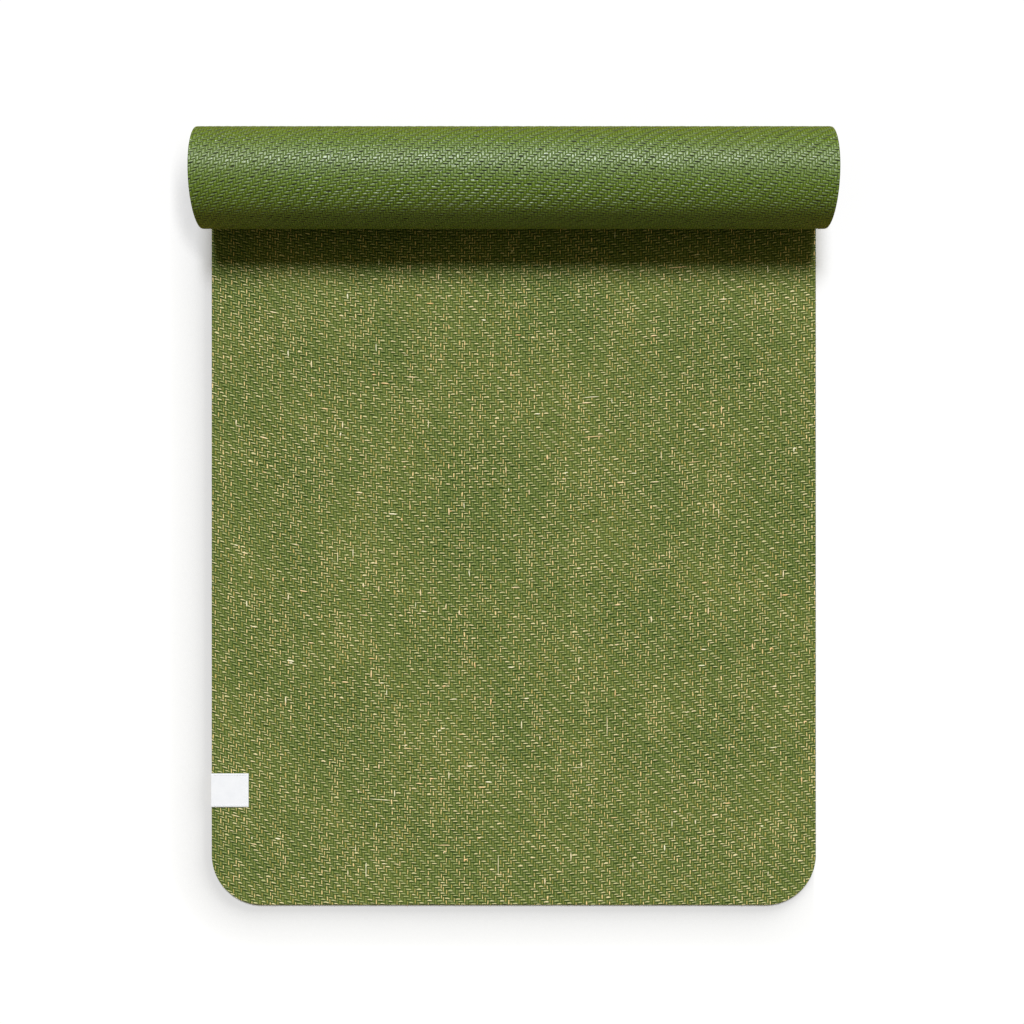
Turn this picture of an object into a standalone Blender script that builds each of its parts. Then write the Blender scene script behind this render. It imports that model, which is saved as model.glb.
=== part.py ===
"""A jute yoga mat, partly rolled up.

The mat lies flat on the floor toward -Y and is wound into a roll at +Y. It is one flexible
sheet. Here it is a flat stretch and a row of curved strips, each hinged to the one before on a
bend line, so that the roll opens until the whole sheet lies flat. A woven label is folded over
the left edge and held by two rows of thread.

Lengths are in metres, +Z is up, and the origin is on the floor under the middle of the mat.
Places in the roll are complex numbers: the real part runs along the sheet from the line where
it leaves the floor, and the imaginary part is the height above the sheet's middle layer.
"""

import cmath
import math

import bmesh
import bpy

# Sheet
MAT_WIDTH = 0.610
MAT_LENGTH = 1.830
MAT_THICKNESS = 0.005
CORNER_RADIUS = 0.050
FLAT_LENGTH = 0.719

# Roll
CORE_RADIUS = 0.0195
LAYER_GAP = 0.00035
BEND_LINES = 48
ROLLED_SHARE = 1.0

# Clearance between pieces that touch on the real mat
SEAT_GAP = 0.0003

# Label
LABEL_THICKNESS = 0.0005
LABEL_WIDTH = 0.034
LABEL_REACH = 0.0375
LABEL_FROM_FREE_EDGE = 0.1155

# Thread through the label and the mat
THREAD_DIAMETER = 0.0004
THREAD_FLOOR_CLEARANCE = 0.0001
STITCH_LENGTH = 0.0028
STITCH_CROWN = 0.0002
STITCH_INSET = 0.0014

# Cuts run past the faces that they open by this much
OVERRUN = 0.001

# Counts
FACETS_PER_STRIP = 6
NOSE_FACETS = 6
SOCKET_FACETS = 6
CORNER_FACETS = 9
FOLD_FACETS = 4

# Edges sharper than this angle stay sharp
SHARP_ANGLE = math.radians(35)

HALF_THICKNESS = MAT_THICKNESS / 2
HALF_WIDTH = MAT_WIDTH / 2
ROLLED_LENGTH = MAT_LENGTH - FLAT_LENGTH

# The bend radius of the middle layer shrinks by one layer in each turn
RADIUS_LOSS = (MAT_THICKNESS + LAYER_GAP) / math.tau
INNER_BEND = CORE_RADIUS + HALF_THICKNESS
OUTER_BEND = math.sqrt(INNER_BEND**2 + 2 * RADIUS_LOSS * ROLLED_LENGTH)
FULL_TURNING = (OUTER_BEND - INNER_BEND) / RADIUS_LOSS
STEP_TURNING = FULL_TURNING / (BEND_LINES + 0.5)


def length_at(turning):
    """The length of sheet from the floor to where it has turned by this angle."""
    return OUTER_BEND * turning - RADIUS_LOSS * turning**2 / 2


def turning_at(length):
    """The angle that the sheet has turned by after this length."""
    if length <= 0:
        return 0.0
    return (OUTER_BEND - math.sqrt(OUTER_BEND**2 - 2 * RADIUS_LOSS * length)) / RADIUS_LOSS


def middle_layer(length):
    """The middle layer's place after this length of sheet; the flat stretch is negative."""
    if length <= 0:
        return complex(length, 0)
    turning = turning_at(length)
    heading = cmath.exp(1j * turning)
    return OUTER_BEND * (heading - 1) / 1j - RADIUS_LOSS * (heading * (1 - 1j * turning) - 1)


def in_sheet(length, depth):
    """A place in the sheet; depth is positive toward the upper face, which is the roll's inside."""
    return middle_layer(length) + 1j * depth * cmath.exp(1j * turning_at(length))


def half_width_at(length):
    """Half of the sheet's width, which both rounded ends narrow."""
    to_end = max(0.0, min(FLAT_LENGTH + length, ROLLED_LENGTH - length))
    if to_end >= CORNER_RADIUS:
        return HALF_WIDTH
    inset = CORNER_RADIUS - to_end
    return HALF_WIDTH - CORNER_RADIUS + math.sqrt(CORNER_RADIUS**2 - inset**2)


FAR_REACH = middle_layer(length_at(math.pi / 2)).real + HALF_THICKNESS
LIFT_LINE_Y = (FLAT_LENGTH - FAR_REACH) / 2


def hinge_axis(strip):
    """The one axis about which this strip turns from its place in the roll to its place on the
    floor, as the strip before it sees it. It lies close to the middle of the bend line."""
    before, after = (strip - 1) * STEP_TURNING, strip * STEP_TURNING
    start, end = length_at(before), length_at(after)
    rolled = (middle_layer(end) - middle_layer(start)) * cmath.exp(-1j * before)
    opened = cmath.exp(-1j * STEP_TURNING)
    axis = ((end - start) - opened * rolled) / (1 - opened)
    return middle_layer(start) + axis * cmath.exp(1j * before)


def material(name, colour, roughness):
    """A Principled material."""
    made = bpy.data.materials.new(name)
    made.use_nodes = True
    shader = made.node_tree.nodes["Principled BSDF"]
    shader.inputs["Base Color"].default_value = (*colour, 1)
    shader.inputs["Roughness"].default_value = roughness
    shader.inputs["Metallic"].default_value = 0
    return made


def add(name, data, parent=None, place=0j, turn=0.0):
    """An object at a place given along and above its parent's axes, turned about X."""
    made = bpy.data.objects.new(name, data)
    bpy.context.scene.collection.objects.link(made)
    made.parent = parent
    made.location = (0, place.real, place.imag)
    made.rotation_euler = (turn, 0, 0)
    return made


def finish(bm, name, surface):
    """Turn a bmesh into a mesh with outward faces and smooth rounds."""
    bmesh.ops.recalc_face_normals(bm, faces=bm.faces)
    mesh = bpy.data.meshes.new(name)
    bm.to_mesh(mesh)
    bm.free()
    mesh.materials.append(surface)
    mesh.shade_smooth()
    mesh.set_sharp_from_angle(angle=SHARP_ANGLE)
    return mesh


def stations(start, end):
    """Lengths at which a stretch of sheet gets a row of points: even ones along a bend, and
    more where a rounded corner narrows the sheet."""
    bent = turning_at(end) - turning_at(start)
    count = max(1, math.ceil(FACETS_PER_STRIP * bent / STEP_TURNING))
    found = [start + (end - start) * i / count for i in range(count + 1)]
    for i in range(1, CORNER_FACETS + 1):
        inset = CORNER_RADIUS * (1 - math.cos(math.pi / 2 * i / CORNER_FACETS))
        found += [inset - FLAT_LENGTH, ROLLED_LENGTH - inset]
    least = CORNER_RADIUS * (1 - math.cos(math.pi / 4 / CORNER_FACETS))
    kept = [start]
    for length in sorted(found):
        if length > kept[-1] + least and length < end - least:
            kept.append(length)
    return kept + [end]


def sheet_mesh(name, start, end, origin, turned, nose, socket, surface):
    """One stretch of the sheet as a closed mesh about its origin, turned back by an angle. A nose
    is a half-round start that sits in the socket at the end of the stretch before."""
    hollow = HALF_THICKNESS + SEAT_GAP
    lip = math.asin(HALF_THICKNESS / hollow)
    last = end - (hollow if socket else 0)
    rows = [(length, depth) for depth in (-HALF_THICKNESS, HALF_THICKNESS)
            for length in stations(start, last)]
    half = len(rows) // 2
    outer = [(in_sheet(*row), row[0]) for row in rows[:half]]
    inner = [(in_sheet(*row), row[0]) for row in rows[half:]]

    def round_end(length, radius, angles):
        """Points round a bend line's middle, and how far along the sheet each one is."""
        middle, heading = middle_layer(length), cmath.exp(1j * turning_at(length))
        spokes = [radius * cmath.exp(1j * angle) for angle in angles]
        return [(middle + heading * spoke, length + spoke.real) for spoke in spokes]

    nose_points = []
    if nose:
        sweep = [math.pi / 2 + math.pi * i / NOSE_FACETS for i in range(1, NOSE_FACETS)]
        nose_points = round_end(start, HALF_THICKNESS, sweep)
    socket_points = []
    if socket:
        sweep = [math.pi + lip - 2 * lip * i / SOCKET_FACETS for i in range(SOCKET_FACETS + 1)]
        socket_points = round_end(end, hollow, sweep)

    bm = bmesh.new()
    profile = nose_points + outer + socket_points + inner[::-1]
    sides = []
    for side in (-1, 1):
        row = []
        for place, length in profile:
            local = (place - origin) * cmath.exp(-1j * turned)
            row.append(bm.verts.new((side * half_width_at(length), local.real, local.imag)))
        sides.append(row)
    for i in range(len(profile)):
        j = (i + 1) % len(profile)
        bm.faces.new((sides[0][i], sides[0][j], sides[1][j], sides[1][i]))
    first = len(nose_points)
    far = first + half + len(socket_points)
    for row in sides:
        for i in range(half - 1):
            opposite = len(profile) - 1 - i
            bm.faces.new((row[first + i], row[first + i + 1], row[opposite - 1], row[opposite]))
        if nose:
            bm.faces.new(row[:first + 1] + [row[-1]])
        if socket:
            bm.faces.new(row[first + half - 1:far + 1])
    return finish(bm, name, surface)


def box_cutter(name, parent, low, high):
    """A guide box between two corners, for a Boolean to subtract."""
    bm = bmesh.new()
    bmesh.ops.create_cube(bm, size=1)
    for vert in bm.verts:
        shares = [value + 0.5 for value in vert.co]
        vert.co = [a + (b - a) * share for a, b, share in zip(low, high, shares)]
    mesh = bpy.data.meshes.new(name)
    bm.to_mesh(mesh)
    bm.free()
    guide = bpy.data.objects.new(name, mesh)
    bpy.context.scene.collection.objects.link(guide)
    guide.parent = parent
    guide.hide_render = True
    guide.display_type = "WIRE"
    return guide


def subtract(target, guide):
    """Cut a guide's space out of an object."""
    cut = target.modifiers.new(guide.name, "BOOLEAN")
    cut.operation = "DIFFERENCE"
    cut.solver = "EXACT"
    cut.object = guide


# The label wraps the mat's left edge. These heights are measured from the middle layer.
FOLD_RADIUS = SEAT_GAP + LABEL_THICKNESS
EDGE_X = -HALF_WIDTH + FOLD_RADIUS
LABEL_TIP_X = -HALF_WIDTH + LABEL_REACH
LABEL_Y = LABEL_FROM_FREE_EDGE - FLAT_LENGTH
UPPER_FACE = HALF_THICKNESS
UNDER_THREAD = THREAD_FLOOR_CLEARANCE + THREAD_DIAMETER / 2 - HALF_THICKNESS
UNDER_RECESS = UNDER_THREAD + THREAD_DIAMETER / 2 + SEAT_GAP + FOLD_RADIUS
OVER_THREAD = UPPER_FACE + FOLD_RADIUS + SEAT_GAP + THREAD_DIAMETER / 2
LEG_X = (EDGE_X + STITCH_INSET, LABEL_TIP_X - STITCH_INSET)
ROW_Y = (LABEL_Y - LABEL_WIDTH / 2 + STITCH_INSET, LABEL_Y + LABEL_WIDTH / 2 - STITCH_INSET)


def label_mesh(surface):
    """The folded label: a strip of even thickness round the mat's two edge corners."""
    def wrapped(distance):
        """The label's path at this distance from the mat, from the upper tip to the lower."""
        path = [(LABEL_TIP_X, UPPER_FACE + distance)]
        for corner_z, first in ((UPPER_FACE, math.pi / 2), (UNDER_RECESS, math.pi)):
            for i in range(FOLD_FACETS + 1):
                angle = first + math.pi / 2 * i / FOLD_FACETS
                path.append((EDGE_X + distance * math.cos(angle),
                             corner_z + distance * math.sin(angle)))
        return path + [(LABEL_TIP_X, UNDER_RECESS - distance)]

    outside, inside = wrapped(FOLD_RADIUS), wrapped(SEAT_GAP)
    bm = bmesh.new()
    ends = []
    for y in (LABEL_Y - LABEL_WIDTH / 2, LABEL_Y + LABEL_WIDTH / 2):
        ends.append([[bm.verts.new((x, y, z)) for x, z in path] for path in (outside, inside)])
    (near_out, near_in), (far_out, far_in) = ends
    for i in range(len(outside) - 1):
        bm.faces.new((near_out[i], near_out[i + 1], far_out[i + 1], far_out[i]))
        bm.faces.new((near_in[i], near_in[i + 1], far_in[i + 1], far_in[i]))
        bm.faces.new((near_out[i], near_out[i + 1], near_in[i + 1], near_in[i]))
        bm.faces.new((far_out[i], far_out[i + 1], far_in[i + 1], far_in[i]))
    for i in (0, -1):
        bm.faces.new((near_out[i], far_out[i], far_in[i], near_in[i]))
    return finish(bm, "label", surface)


def thread_curve(name, row_y, surface):
    """A row of stitches as one loop of thread: crowned over the label, straight under the mat."""
    near, far = LEG_X
    count = max(2, round((far - near) / STITCH_LENGTH))
    crown_shares = (0, 0.7, 1, 0.7)
    path = []
    for i in range(count):
        for j, crown_share in enumerate(crown_shares):
            x = near + (far - near) * (i + j / len(crown_shares)) / count
            path.append((x, OVER_THREAD + STITCH_CROWN * crown_share))
    path += [(far, OVER_THREAD), (far, UNDER_THREAD), (near, UNDER_THREAD)]
    curve = bpy.data.curves.new(name, "CURVE")
    curve.dimensions = "3D"
    curve.bevel_depth = THREAD_DIAMETER / 2
    curve.bevel_resolution = 1
    spline = curve.splines.new("POLY")
    spline.points.add(len(path) - 1)
    spline.use_cyclic_u = True
    for point, (x, z) in zip(spline.points, path):
        point.co = (x, row_y, z, 1)
    curve.materials.append(surface)
    return curve


def open_for_label(flat, label):
    """Cut the mat for the label's fold and lower leaf, and both for the thread's legs."""
    half = LABEL_WIDTH / 2 + SEAT_GAP
    low_y, high_y = LABEL_Y - half, LABEL_Y + half
    below, above = -HALF_THICKNESS - OVERRUN, OVER_THREAD + OVERRUN
    fold = box_cutter("fold_guide", flat, (-HALF_WIDTH - OVERRUN, low_y, below),
                      (EDGE_X, high_y, above))
    leaf = box_cutter("leaf_guide", flat, (-HALF_WIDTH - OVERRUN, low_y, below),
                      (LABEL_TIP_X + SEAT_GAP, high_y, UNDER_RECESS))
    subtract(flat, leaf)
    subtract(flat, fold)
    hole = THREAD_DIAMETER / 2 + SEAT_GAP
    for row, y in enumerate(ROW_Y):
        for leg, x in enumerate(LEG_X):
            guide = box_cutter(f"leg_guide_{row}_{leg}", flat, (x - hole, y - hole, below),
                               (x + hole, y + hole, above))
            subtract(flat, guide)
            subtract(label, guide)


def build():
    """Make every piece of the mat."""
    for old in list(bpy.data.objects):
        bpy.data.objects.remove(old, do_unlink=True)
    sheet = material("jute_and_grip_coat", (0.155, 0.205, 0.055), 0.75)
    woven = material("woven_label", (0.88, 0.88, 0.90), 0.6)
    cotton = material("label_thread", (0.80, 0.80, 0.80), 0.7)

    # The flat stretch, and the short rise where the sheet starts to leave the floor
    flat_mesh = sheet_mesh("mat_flat", -FLAT_LENGTH, 0, 0j, 0, False, False, sheet)
    flat = add("mat_flat", flat_mesh, None, complex(LIFT_LINE_Y, HALF_THICKNESS))
    rise_end = length_at(STEP_TURNING / 2)
    rise_mesh = sheet_mesh("mat_rise", SEAT_GAP, rise_end, 0j, 0, False, True, sheet)
    add("mat_rise", rise_mesh, flat)

    # The rolled strips, each with its origin on its hinge axis
    before, before_origin = flat, 0j
    for strip in range(1, BEND_LINES + 1):
        name = f"mat_strip_{strip:02d}"
        origin, turned = hinge_axis(strip), strip * STEP_TURNING
        ends = [length_at((strip + side) * STEP_TURNING) for side in (-0.5, 0.5)]
        is_last = strip == BEND_LINES
        mesh = sheet_mesh(name, *ends, origin, turned, True, not is_last, sheet)
        place = (origin - before_origin) * cmath.exp(-1j * (strip - 1) * STEP_TURNING)
        before = add(name, mesh, before, place, STEP_TURNING * ROLLED_SHARE)
        before_origin = origin

    # The label and its thread
    label = add("label", label_mesh(woven), flat)
    open_for_label(flat, label)
    for name, row_y in zip(("label_thread_near", "label_thread_far"), ROW_Y):
        add(name, thread_curve(name, row_y, cotton), flat)


build()
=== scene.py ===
import math
from types import SimpleNamespace

import bpy
import numpy as np
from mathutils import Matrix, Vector


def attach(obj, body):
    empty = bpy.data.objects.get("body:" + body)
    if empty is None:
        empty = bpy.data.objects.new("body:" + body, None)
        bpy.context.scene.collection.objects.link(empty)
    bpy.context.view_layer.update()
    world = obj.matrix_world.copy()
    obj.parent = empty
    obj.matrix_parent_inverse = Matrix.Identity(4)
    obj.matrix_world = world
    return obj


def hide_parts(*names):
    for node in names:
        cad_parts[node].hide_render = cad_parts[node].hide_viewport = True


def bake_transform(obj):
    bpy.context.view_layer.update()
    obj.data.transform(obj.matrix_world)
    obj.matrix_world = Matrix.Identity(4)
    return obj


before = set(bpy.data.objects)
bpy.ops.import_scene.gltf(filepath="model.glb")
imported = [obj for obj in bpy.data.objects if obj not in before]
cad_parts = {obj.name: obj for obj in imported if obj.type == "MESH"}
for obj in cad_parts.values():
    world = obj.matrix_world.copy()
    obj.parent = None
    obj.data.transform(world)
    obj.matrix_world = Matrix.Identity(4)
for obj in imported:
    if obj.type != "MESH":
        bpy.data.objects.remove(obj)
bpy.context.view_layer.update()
random = np.random.default_rng(62)
TINY = 1e-12

# Mat sizes, as in the frame
WIDTH, LENGTH, THICKNESS = 0.610, 1.830, 0.005
CORNER, FLAT_LENGTH = 0.050, 0.719
CORE_RADIUS, LAYER_GAP, BENDS = 0.0195, 0.00035, 48
HALF, HALF_WIDTH = THICKNESS / 2, WIDTH / 2
ROLLED = LENGTH - FLAT_LENGTH
RADIUS_LOSS = (THICKNESS + LAYER_GAP) / math.tau
INNER_BEND = CORE_RADIUS + HALF
OUTER_BEND = math.sqrt(INNER_BEND**2 + 2 * RADIUS_LOSS * ROLLED)
FULL_TURNING = (OUTER_BEND - INNER_BEND) / RADIUS_LOSS
STEP_TURNING = FULL_TURNING / (BENDS + 0.5)

# The weave is a 2/2 twill: its pattern repeats every four threads. Heights run from 0 on a crown to -1 in a hollow
WARPS, REPEAT = 233, 4
WARP_PITCH, WEFT_PITCH = WIDTH / WARPS, 0.00268
WEFT_BOW = (0.0327, 0.331, -0.444)
RELIEF_UPPER, RELIEF_LOWER, COARSE_HEIGHT = 0.00034, 0.00042, -0.6
WEFT_HEIGHTS = np.array([-0.5, 0, -0.5, -1.0])
WARP_HEIGHTS = np.array([-0.5, -1.0, -0.5, -0.05])

# Threads swell and thin along their way: by what share of the relief, and over how many threads
SWELL_SHARE, SWELL_LOW, SWELL_HIGH = 0.10, -1.6, 1.0
WARP_SWELL_RUN, WARP_SWELL_START = 6, 3
WEFT_SWELL_RUN, WEFT_SWELL_START = 5.5, 14

# The edges: their rounding, and how far the threads' ends stand out of a cut
EDGE_DROP, EDGE_ROUND = 0.00034, 0.0009
CUT_LEVELS, CUT_SIDES, CUT_THREADS, THREADS_BEFORE = 7, 4, 800, 20
CUT_CROWN, END_OUT, END_OUT_MORE = 0.00012, 0.0001, 0.00055
END_TAPER, END_WANDER = 1.4, 0.7
STEPS_A_WEFT, CORNER_STEPS, END_STEPS, WARP_ENDS_FROM = 5, 110, 960, 0.6

# The label, folded over the left edge and sewn on
LABEL_THICKNESS, LABEL_WIDTH, LABEL_REACH = 0.0005, 0.034, 0.0375
LABEL_MID, LABEL_SEAT, LABEL_TIP = 0.1155, 0.0003, -HALF_WIDTH + LABEL_REACH
RECESS_DEPTH, RECESS_MARGIN = 0.0009, 0.001
THREAD_RADIUS, STITCH = 0.0002, 0.0028

# Parts of a sheet's mesh, in the order of its materials
UPPER, LOWER, CUT, FIBRE = 0, 1, 2, 3


# The sheet's path and its weave


def length_at(turning):
    return OUTER_BEND * turning - RADIUS_LOSS * turning**2 / 2


def turning_at(length):
    rolled = np.maximum(length, 0)
    return (OUTER_BEND - np.sqrt(np.maximum(OUTER_BEND**2 - 2 * RADIUS_LOSS * rolled, 0))) / RADIUS_LOSS


def middle_layer(length):
    turning = turning_at(length)
    heading = np.exp(1j * turning)
    curled = OUTER_BEND * (heading - 1) / 1j - RADIUS_LOSS * (heading * (1 - 1j * turning) - 1)
    return np.where(length <= 0, length + 0j, curled)


LIFT_Y = (FLAT_LENGTH - complex(middle_layer(np.array(length_at(math.pi / 2)))).real - HALF) / 2
FREE_END_Y = LIFT_Y - FLAT_LENGTH


def in_world(x, s, depth):
    """World points for places on the sheet: across, along from the free edge, and up from the middle layer."""
    length = s - FLAT_LENGTH
    place = middle_layer(length) + 1j * depth * np.exp(1j * turning_at(length))
    return np.stack([x, LIFT_Y + place.real, HALF + place.imag], axis=-1)


def from_end(s):
    return np.minimum(s, LENGTH - s)


def half_width_at(s):
    inset = np.clip(CORNER - from_end(s), 0, CORNER)
    return HALF_WIDTH - CORNER + np.sqrt(CORNER**2 - inset**2)


def past_corner(x, s):
    """How far places lie beyond the nearest corner's centre, across and along."""
    return np.abs(x) - (HALF_WIDTH - CORNER), CORNER - from_end(s)


def from_outline(x, s):
    """How far places lie inside the mat's outline."""
    straight = np.minimum(HALF_WIDTH - np.abs(x), from_end(s))
    across, along = past_corner(x, s)
    return np.where((across > 0) & (along > 0), CORNER - np.hypot(across, along), straight)


def onto_outline(x, s):
    """Moves places that lie outside the outline onto its rounded corners."""
    across, along = past_corner(x, s)
    reach = np.maximum(np.hypot(across, along), TINY)
    arc_x, arc_end = HALF_WIDTH - CORNER + across / reach * CORNER, CORNER - along / reach * CORNER
    out = np.abs(x) > half_width_at(s)
    arc_s = np.where(s < LENGTH / 2, arc_end, LENGTH - arc_end)
    return np.where(out, np.sign(x) * arc_x, x), np.where(out, arc_s, s)


def near_label(x, s, across, along):
    """Whether places lie within these distances of the label's leaf."""
    return (x < LABEL_TIP + across) & (np.abs(s - LABEL_MID) < LABEL_WIDTH / 2 + along)


def bow(x):
    """How far a weft thread runs ahead of square at this place across the mat."""
    return WEFT_BOW[0] * x + WEFT_BOW[1] * x**2 + WEFT_BOW[2] * x**3


def thread_place(x, s):
    return (x + HALF_WIDTH) / WARP_PITCH, (s - bow(x)) / WEFT_PITCH


def lattice(a, b, shift):
    """Height of the weave at half-thread steps."""
    phase = (a // 2 + b // 2 + shift) % REPEAT
    mixed = np.where(b % 2 == 1, WEFT_HEIGHTS[phase], WARP_HEIGHTS[phase])
    return np.where((a % 2 == 1) & (b % 2 == 1), 0.0, np.where((a % 2 == 0) & (b % 2 == 0), -1.0, mixed))


def bilinear(table, u, v):
    u, v = (np.clip(place, 0, size - 1.001) for place, size in zip((u, v), table.shape))
    k, m = u.astype(int), v.astype(int)
    f, g = u - k, v - m
    return ((table[k, m] * (1 - g) + table[k, m + 1] * g) * (1 - f)
            + (table[k + 1, m] * (1 - g) + table[k + 1, m + 1] * g) * f)


warp_swell = random.normal(0, 1, (WARPS + 3, 130))
weft_swell = random.normal(0, 1, (720, 46))
end_bumps = random.random((CUT_SIDES, CUT_THREADS))


def relief(x, s, upper):
    """Height of the woven surface, below its crowns, at places on one face."""
    i, j = thread_place(x, s)
    a, b = 2 * i, 2 * j
    a0, b0 = np.floor(a).astype(int), np.floor(b).astype(int)
    f, g = a - a0, b - b0
    shift = 0 if upper else 2
    h = ((lattice(a0, b0, shift) * (1 - g) + lattice(a0, b0 + 1, shift) * g) * (1 - f)
         + (lattice(a0 + 1, b0, shift) * (1 - g) + lattice(a0 + 1, b0 + 1, shift) * g) * f)
    swell = (bilinear(warp_swell, i, j / WARP_SWELL_RUN + WARP_SWELL_START)
             + bilinear(weft_swell, j + WEFT_SWELL_START, i / WEFT_SWELL_RUN))
    amount = RELIEF_UPPER if upper else RELIEF_LOWER
    return amount * (h + SWELL_SHARE * np.clip(swell, SWELL_LOW, SWELL_HIGH) - SWELL_SHARE * SWELL_HIGH)


def face_height(x, s, upper, fine):
    """Height of a face above the middle layer: woven if it is fine, smooth if not."""
    h = relief(x, s, upper) if fine else np.full(x.shape, COARSE_HEIGHT * RELIEF_LOWER)
    rim = np.exp(-(np.maximum(from_outline(x, s), 0) / EDGE_ROUND) ** 2)
    height = HALF + (h * (1 - rim) - EDGE_DROP * rim)
    if upper:
        return height
    return np.where(near_label(x, s, RECESS_MARGIN, RECESS_MARGIN), -RECESS_DEPTH, -height)


# Meshes


def grid_quads(grid):
    """The quads between the rows and columns of a grid of vertices. Their second corner is in the next column."""
    near, far = grid[:-1], grid[1:]
    return np.stack([c.ravel() for c in (near[:, :-1], near[:, 1:], far[:, 1:], far[:, :-1])], 1)


def merged(x, s, quads):
    """Joins vertices that lie in one place: the places left, with the quads and triangles between them."""
    steps, row = 1e7, 40_000_000
    key = np.round(x * steps).astype(np.int64) * row + np.round(s * steps).astype(np.int64)
    used = np.unique(quads)
    _, first, which = np.unique(key[used], return_index=True, return_inverse=True)
    to_new = np.zeros(x.size, int)
    to_new[used] = which
    quads = to_new[quads]
    same = [quads[:, k] == quads[:, (k + 1) % 4] for k in range(4)]
    faces = [quads[~np.any(same, axis=0)]]
    for k in range(4):
        only = same[k] & (np.sum(same, axis=0) == 1)
        faces.append(np.delete(quads[only], (k + 1) % 4, axis=1))
    return x[used[first]], s[used[first]], faces


class Piece:
    """Gathers a piece's vertices, faces, weave places and bake places before it becomes an object."""

    def __init__(self):
        self.points, self.weave, self.place = [], [], []
        self.faces, self.part, self.count = [], [], 0

    def add(self, points, weave, place, faces, part):
        self.points.append(points)
        self.weave.append(weave)
        self.place.append(place)
        self.add_faces([f + self.count for f in faces], part)
        self.count += len(points)

    def add_faces(self, faces, part):
        """Adds faces between vertices that the piece has already."""
        for f in faces:
            if len(f):
                self.faces.append(f)
                self.part.append(np.full(len(f), part))

    def build(self, name, materials, bake=None):
        points, weave, place = map(np.concatenate, (self.points, self.weave, self.place))
        sizes = np.concatenate([np.full(len(f), f.shape[1]) for f in self.faces])
        starts = np.concatenate([[0], np.cumsum(sizes)[:-1]])
        corners = np.concatenate([f.ravel() for f in self.faces])
        part = np.concatenate(self.part)
        mesh = bpy.data.meshes.new(name)
        mesh.vertices.add(len(points))
        mesh.vertices.foreach_set("co", points.astype(np.float32).ravel())
        mesh.loops.add(len(corners))
        mesh.loops.foreach_set("vertex_index", corners.astype(np.int32))
        mesh.polygons.add(len(sizes))
        mesh.polygons.foreach_set("loop_start", starts.astype(np.int32))
        for m in materials:
            mesh.materials.append(m)
        mesh.polygons.foreach_set("material_index", part.astype(np.int32))
        mesh.update(calc_edges=True)
        mesh.polygons.foreach_set("use_smooth", np.ones(len(sizes), bool))
        threads = mesh.uv_layers.new(name="weave")
        threads.data.foreach_set("uv", weave[corners].astype(np.float32).ravel())
        if bake is not None:
            face_of = np.repeat(np.arange(len(sizes)), sizes)
            middle = np.add.reduceat(place[corners], starts, axis=0) / sizes[:, None]
            baked = bake(place[corners], middle[face_of], part[face_of])
            layer = mesh.uv_layers.new(name="OFBake")
            layer.data.foreach_set("uv", baked.astype(np.float32).ravel())
        mesh.validate()
        obj = bpy.data.objects.new(name, mesh)
        bpy.context.scene.collection.objects.link(obj)
        return obj


def add_face(piece, s0, s1, upper, fine):
    """One woven face between two lines across the mat, with its vertices on the threads."""
    a = np.arange(0, 2 * WARPS + 1, 1 if fine else 2)
    x = -HALF_WIDTH + a * WARP_PITCH / 2
    pitch = WEFT_PITCH / 2 if fine else WEFT_PITCH
    lead = bow(x)
    low, high = math.floor((s0 - lead.max()) / pitch) - 1, math.ceil((s1 - lead.min()) / pitch) + 2
    xx, b = np.meshgrid(x, np.arange(low, high), indexing="ij")
    ss = b * pitch + lead[:, None]
    inside = np.abs(xx) <= half_width_at(np.clip(ss, 0, LENGTH)) + 1e-9
    inside &= (ss > s0 + 1e-6) & (ss < s1 - 1e-6)
    kept = inside[:-1, :-1] | inside[1:, :-1] | inside[1:, 1:] | inside[:-1, 1:]
    xx, ss = onto_outline(xx, np.clip(ss, s0, s1))
    quads = grid_quads(np.arange(xx.size).reshape(xx.shape))[kept.ravel()]
    x, s, faces = merged(xx.ravel(), ss.ravel(), quads[:, [0, 3, 2, 1]])
    if not upper:
        faces = [f[:, ::-1] for f in faces]
    points = in_world(x, s, face_height(x, s, upper, fine))
    weave = np.stack(thread_place(x, s), 1)
    piece.add(points, weave, np.stack([x, s], 1), faces, UPPER if upper else LOWER)


def add_cut(piece, x, s, nx, ns, along, side):
    """A cut edge: the threads' ends stand out a little between the two faces."""
    level = np.linspace(1, -1, CUT_LEVELS)
    whole = np.clip(np.floor(along).astype(int) + THREADS_BEFORE, 0, CUT_THREADS - 1)
    end = np.sin(math.pi * (along - np.floor(along))) ** 2
    wander = (end_bumps[(side + 1) % CUT_SIDES][whole][:, None] - 0.5) * END_WANDER
    over = np.clip(1 - END_TAPER * np.abs(level[None, :] - wander), 0, 1)
    reach = END_OUT + END_OUT_MORE * end_bumps[side][whole] ** 2
    out = CUT_CROWN * (1 - level[None, :] ** 2) + reach[:, None] * end[:, None] * over
    xx = x[:, None] + nx[:, None] * out
    ss = s[:, None] + ns[:, None] * out
    depth = np.repeat((HALF - EDGE_DROP) * level[None, :], len(x), 0)
    recessed = near_label(x, s, RECESS_MARGIN, RECESS_MARGIN)[:, None]
    depth = np.where(recessed, np.maximum(depth, -RECESS_DEPTH), depth)
    quads = grid_quads(np.arange(len(x) * CUT_LEVELS).reshape(len(x), CUT_LEVELS))
    share = np.arange(len(x)) / (len(x) - 1)
    weave = np.stack([np.repeat(along, CUT_LEVELS), depth.ravel() / WEFT_PITCH], 1)
    place = np.stack([np.repeat(share, CUT_LEVELS), np.tile((level + 1) / 2, len(x)) + side], 1)
    piece.add(in_world(xx.ravel(), ss.ravel(), depth.ravel()), weave, place, [quads[:, [1, 2, 3, 0]]], CUT)


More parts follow.
